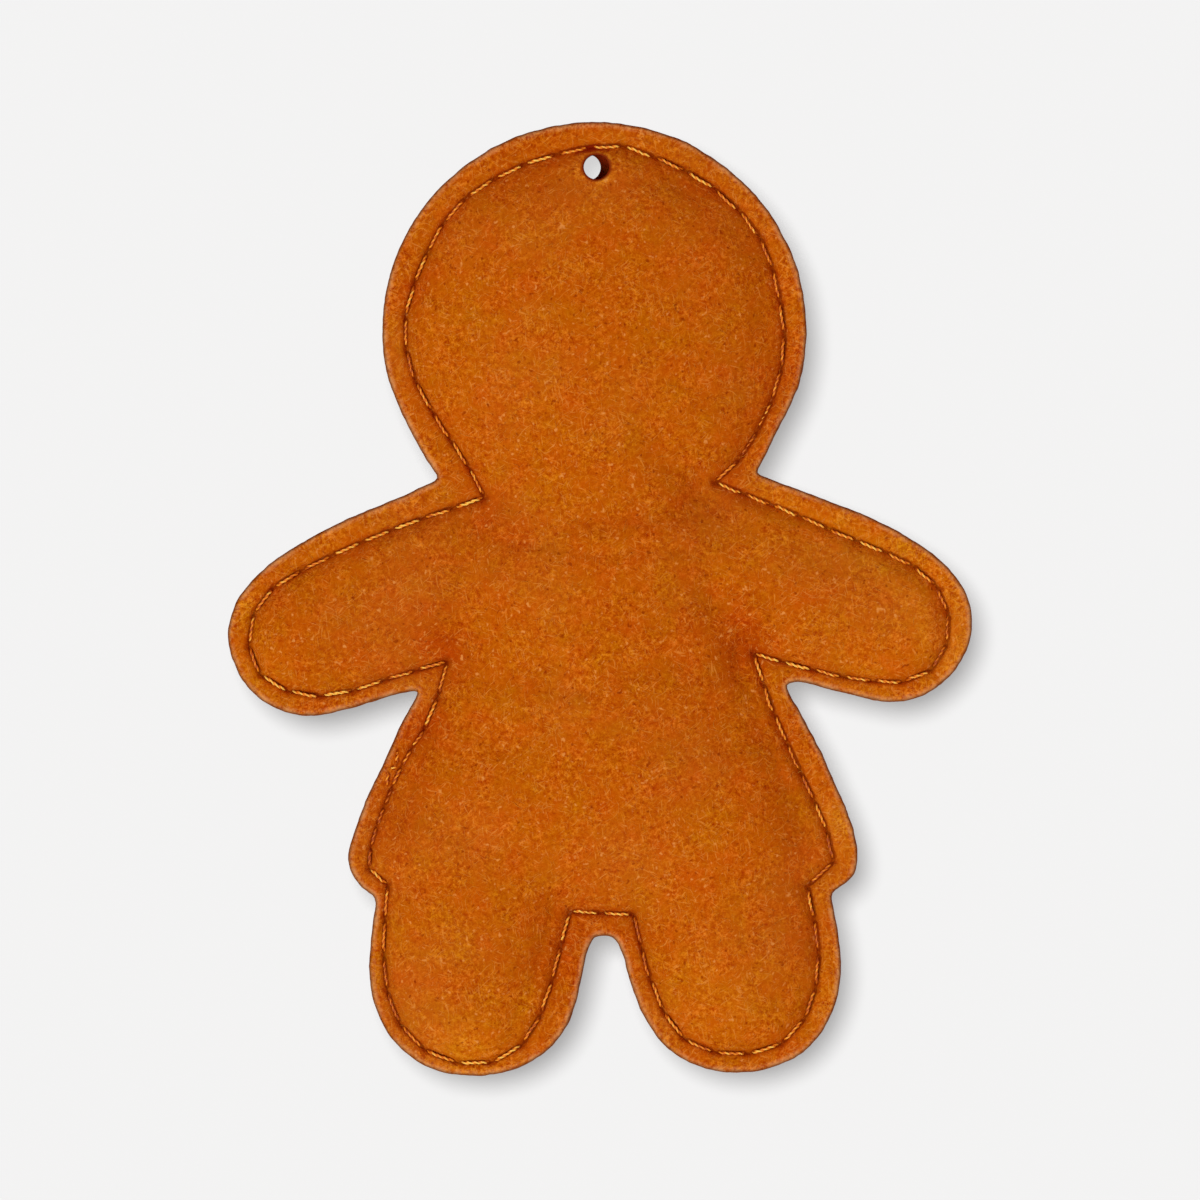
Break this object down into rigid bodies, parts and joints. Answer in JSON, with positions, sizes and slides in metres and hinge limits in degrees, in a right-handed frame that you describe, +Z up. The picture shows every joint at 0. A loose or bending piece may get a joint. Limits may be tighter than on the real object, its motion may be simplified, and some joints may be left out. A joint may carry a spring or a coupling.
{
  "type": "felt christmas ornament",
  "caption": "Stuffed gingerbread-figure ornament of two felt panels lockstitched round the edge, with a flared skirt and a round hanging hole through the top of the head.",
  "frame": {"origin": "middle of the hanging hole, half way through the ornament", "axes": "+Z up, from the feet to the head; the front faces -Y; +X to the viewer's right"},
  "size_m": [0.0936, 0.0152, 0.12],
  "materials": {
    "felt": "pressed fibre felt, matt, with a darkened cut edge",
    "fibrefill": "loose polyester fibre stuffing",
    "thread": "two-ply sewing thread with a slight sheen"
  },
  "bodies": {
    "root": {"front_panel": "felt", "back_panel": "felt", "head_stuffing": "fibrefill", "left_arm_stuffing": "fibrefill", "torso_stuffing": "fibrefill", "left_leg_stuffing": "fibrefill", "right_leg_stuffing": "fibrefill", "right_arm_stuffing": "fibrefill", "seam_needle_thread": "thread", "seam_bobbin_thread": "thread", "closing_needle_thread": "thread", "closing_bobbin_thread": "thread"}
  },
  "joints": []
}
